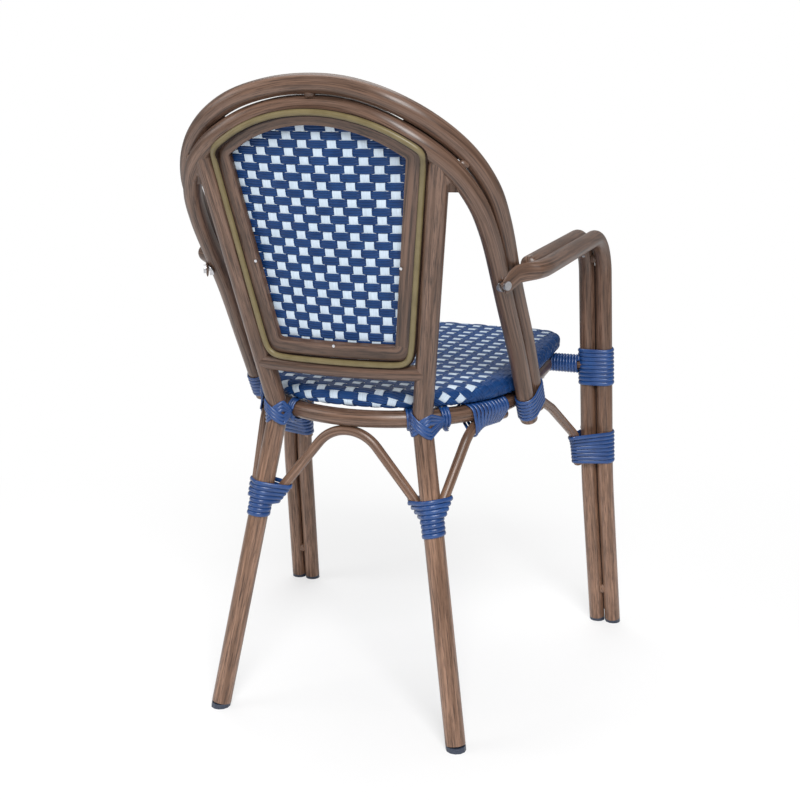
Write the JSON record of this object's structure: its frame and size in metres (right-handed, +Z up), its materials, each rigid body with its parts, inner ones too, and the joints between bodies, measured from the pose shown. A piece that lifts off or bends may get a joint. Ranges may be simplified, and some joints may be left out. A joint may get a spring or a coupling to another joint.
{
  "type": "armchair",
  "caption": "Bistro armchair of grained metal tube with a hooped bowed back, woven checker seat and back panels, lashed joints and paired front legs that run up into the arms.",
  "frame": {"origin": "on the floor under the middle of the bounding box", "axes": "+Z up, the sitter faces -Y, +X is the sitter's left"},
  "size_m": [0.6042, 0.5796, 0.8897],
  "materials": {
    "grained_tube": "satin, wood grain print with lighter streaks and darker joint bands",
    "steel": "brushed",
    "bare_bar": "dull",
    "seat_weave": "woven plastic strand, navy and pale blue-white checker",
    "back_weave": "woven plastic strand, navy and pale blue-white checker",
    "gold_bead": "matt olive gold",
    "foot_cap": "matt dark blue-grey",
    "lashing": "soft gloss navy strand"
  },
  "bodies": {
    "root": {"seat_ring": "grained_tube", "back_crossbar": "grained_tube", "panel_frame": "grained_tube", "outer_hoop": "grained_tube", "inner_hoop": "grained_tube", "rear_brace": "grained_tube", "rear_leg_left": "grained_tube", "rear_leg_right": "grained_tube", "front_leg_outer_left": "grained_tube", "front_leg_outer_right": "grained_tube", "front_leg_inner_left": "grained_tube", "front_leg_inner_right": "grained_tube", "rail_end_left": "grained_tube", "rail_end_right": "grained_tube", "side_brace_rear_left": "grained_tube", "side_brace_rear_right": "grained_tube", "side_brace_front_left": "grained_tube", "side_brace_front_right": "grained_tube", "seat_screw_rear_left": "steel", "seat_screw_rear_right": "steel", "seat_screw_front_left": "steel", "seat_screw_front_right": "steel", "arm_bolt_left": "steel", "arm_bolt_right": "steel", "arm_washer_left": "steel", "arm_washer_right": "steel", "arm_screw_left": "steel", "arm_screw_right": "steel", "panel_screw_left": "steel", "panel_screw_right": "steel", "panel_screw_bottom": "steel", "seat_frame": "bare_bar", "seat_spacer_rear_left": "bare_bar", "seat_spacer_rear_right": "bare_bar", "seat_spacer_front_left": "bare_bar", "seat_spacer_front_right": "bare_bar", "seat_weave": "seat_weave", "back_weave": "back_weave", "gold_bead": "gold_bead", "foot_cap_rear_left": "foot_cap", "foot_cap_rear_right": "foot_cap", "foot_cap_front_outer_left": "foot_cap", "foot_cap_front_outer_right": "foot_cap", "foot_cap_front_inner_left": "foot_cap", "foot_cap_front_inner_right": "foot_cap", "lash_rear_leg_left": "lashing", "lash_rear_leg_right": "lashing", "lash_front_lower_left": "lashing", "lash_front_lower_right": "lashing", "lash_front_upper_left": "lashing", "lash_front_upper_right": "lashing", "lash_ring_brace_left": "lashing", "lash_ring_brace_right": "lashing", "lash_rail_end_left": "lashing", "lash_rail_end_right": "lashing", "lash_hoop_foot_left": "lashing", "lash_hoop_foot_right": "lashing", "lash_post_left": "lashing", "lash_post_right": "lashing"}
  },
  "joints": []
}
